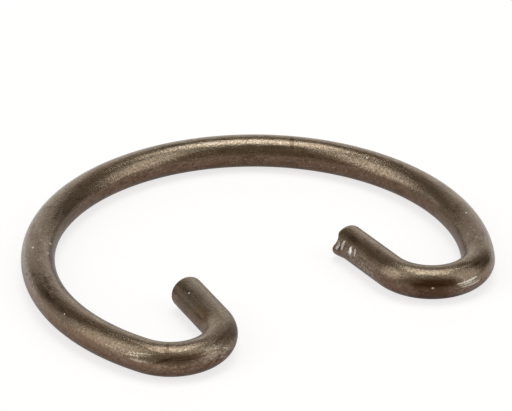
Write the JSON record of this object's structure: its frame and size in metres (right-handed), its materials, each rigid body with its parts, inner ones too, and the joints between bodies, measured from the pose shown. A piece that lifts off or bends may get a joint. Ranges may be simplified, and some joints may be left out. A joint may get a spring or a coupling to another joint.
{
  "type": "piston pin clip",
  "caption": "Open spring-wire ring with both ends bent inwards as straight tails; snaps into the groove of a piston's pin bore and stops the pin sliding out.",
  "frame": {"origin": "centre of the ring, on the mid-plane of the wire", "axes": "+Z along the axis of the bore that the clip sits in, +Y towards the ring's back, so the gap with the two tails faces -Y, +X towards the cropped tail's side"},
  "size_m": [0.035, 0.0286, 0.0024],
  "materials": {
    "spring_steel": "oil-tempered drawn wire with a dark bronze-brown oxide, satin, with bare metal at the cropped tip and on the rubbed bends"
  },
  "bodies": {
    "root": {"clip": "spring_steel"}
  },
  "joints": []
}
